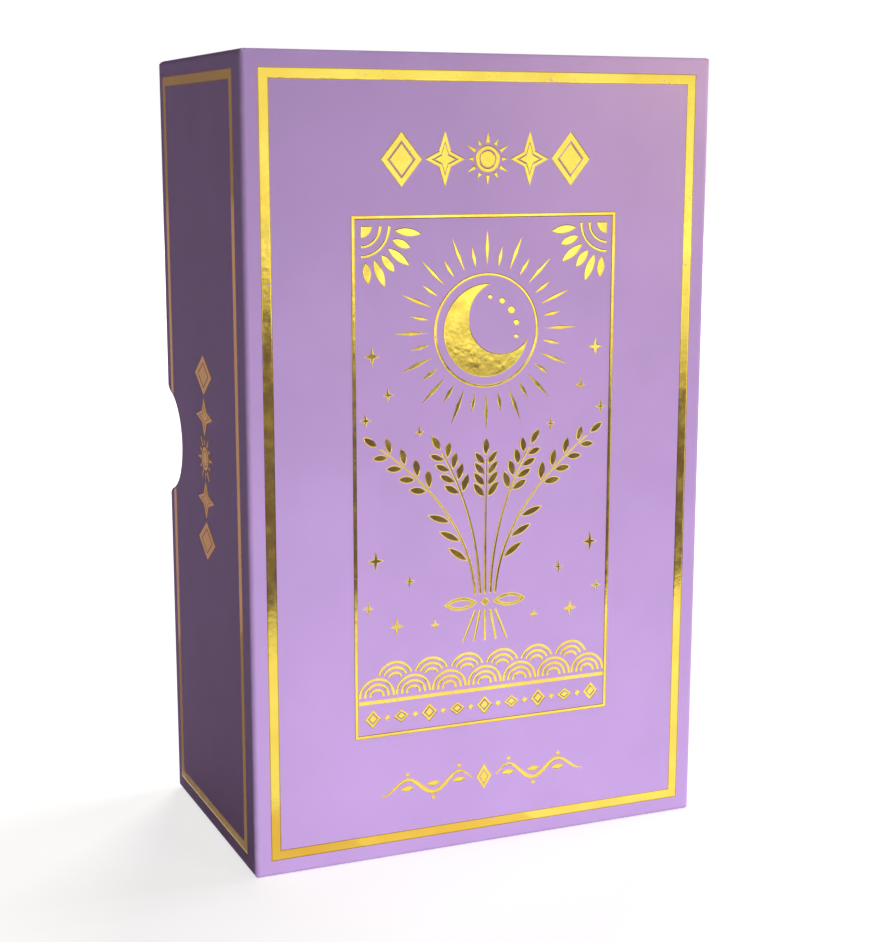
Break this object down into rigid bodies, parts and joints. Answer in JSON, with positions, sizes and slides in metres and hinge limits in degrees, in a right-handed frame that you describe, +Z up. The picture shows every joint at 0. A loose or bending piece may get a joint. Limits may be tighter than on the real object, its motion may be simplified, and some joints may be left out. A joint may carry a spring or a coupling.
{
  "type": "boxed tarot card deck",
  "caption": "Lavender telescoping rigid box with gold foil borders and picture and thumb notches in its lid, holding a deck of cards and a paperback guidebook.",
  "frame": {"origin": "on the surface the box stands on, under the middle of the closed box", "axes": "+X to the right seen from the front, +Y from the front face to the back, +Z up along the box's length"},
  "size_m": [0.0814, 0.0475, 0.1313],
  "materials": {
    "lavender_paper": "matte soft-touch laminate",
    "white_paper": "matte",
    "greyboard": "matte",
    "corner_tape": "matte",
    "gold_foil": "polished",
    "cover_card": "satin",
    "book_paper": "matte",
    "spine_glue": "matte",
    "card_stock": "satin"
  },
  "bodies": {
    "base": {"base_board": "greyboard", "base_corner_tapes": "corner_tape", "base_wrap": "white_paper", "base_lining": "white_paper"},
    "lid": {"lid_board": "greyboard", "lid_corner_tapes": "corner_tape", "lid_wrap": "lavender_paper", "lid_lining": "white_paper", "front_border_foil": "gold_foil", "left_border_foil": "gold_foil", "right_border_foil": "gold_foil", "top_border_foil": "gold_foil", "bottom_border_foil": "gold_foil", "title_foil": "gold_foil", "left_title_foil": "gold_foil", "right_title_foil": "gold_foil", "picture_frame_foil": "gold_foil", "caption_foil": "gold_foil", "vine_foil": "gold_foil", "moon_foil": "gold_foil", "ray_foil": "gold_foil", "star_foil": "gold_foil", "sprig_foil": "gold_foil", "fan_foil": "gold_foil", "wave_foil": "gold_foil"},
    "guidebook": {"guidebook_back_cover": "cover_card", "guidebook_sections": "book_paper", "guidebook_spine_glue": "spine_glue"},
    "guidebook_cover": {"guidebook_front_cover": "cover_card"},
    "major_arcana": {"major_arcana_cards": "card_stock"},
    "wands": {"wands_cards": "card_stock"},
    "cups": {"cups_cards": "card_stock"},
    "swords": {"swords_cards": "card_stock"},
    "pentacles": {"pentacles_cards": "card_stock"}
  },
  "joints": [
    {"name": "lid_lift", "type": "slide", "parent": "base", "child": "lid", "axis": [0, -1, 0], "range_m": [0, 0.28]},
    {"name": "guidebook_lift", "type": "slide", "parent": "base", "child": "guidebook", "axis": [0, -1, 0], "range_m": [0, 0.14]},
    {"name": "major_arcana_lift", "type": "slide", "parent": "base", "child": "major_arcana", "axis": [0, -1, 0], "range_m": [0, 0.1176]},
    {"name": "wands_lift", "type": "slide", "parent": "base", "child": "wands", "axis": [0, -1, 0], "range_m": [0, 0.1008]},
    {"name": "cups_lift", "type": "slide", "parent": "base", "child": "cups", "axis": [0, -1, 0], "range_m": [0, 0.084]},
    {"name": "swords_lift", "type": "slide", "parent": "base", "child": "swords", "axis": [0, -1, 0], "range_m": [0, 0.0672]},
    {"name": "pentacles_lift", "type": "slide", "parent": "base", "child": "pentacles", "axis": [0, -1, 0], "range_m": [0, 0.0504]},
    {"name": "guidebook_cover_open", "type": "hinge", "parent": "guidebook", "child": "guidebook_cover", "pos_m": [-0.03435, -0.01849, 0.06565], "axis": [0, 0, -1], "range_deg": [0, 115]}
  ],
  "couplings": [
    {"joint": "guidebook_lift", "follows": "lid_lift", "ratio": 0.5},
    {"joint": "major_arcana_lift", "follows": "lid_lift", "ratio": 0.42},
    {"joint": "wands_lift", "follows": "lid_lift", "ratio": 0.36},
    {"joint": "cups_lift", "follows": "lid_lift", "ratio": 0.3},
    {"joint": "swords_lift", "follows": "lid_lift", "ratio": 0.24},
    {"joint": "pentacles_lift", "follows": "lid_lift", "ratio": 0.18},
    {"joint": "guidebook_cover_open", "follows": "lid_lift", "rad_per_m": 7.1683}
  ]
}
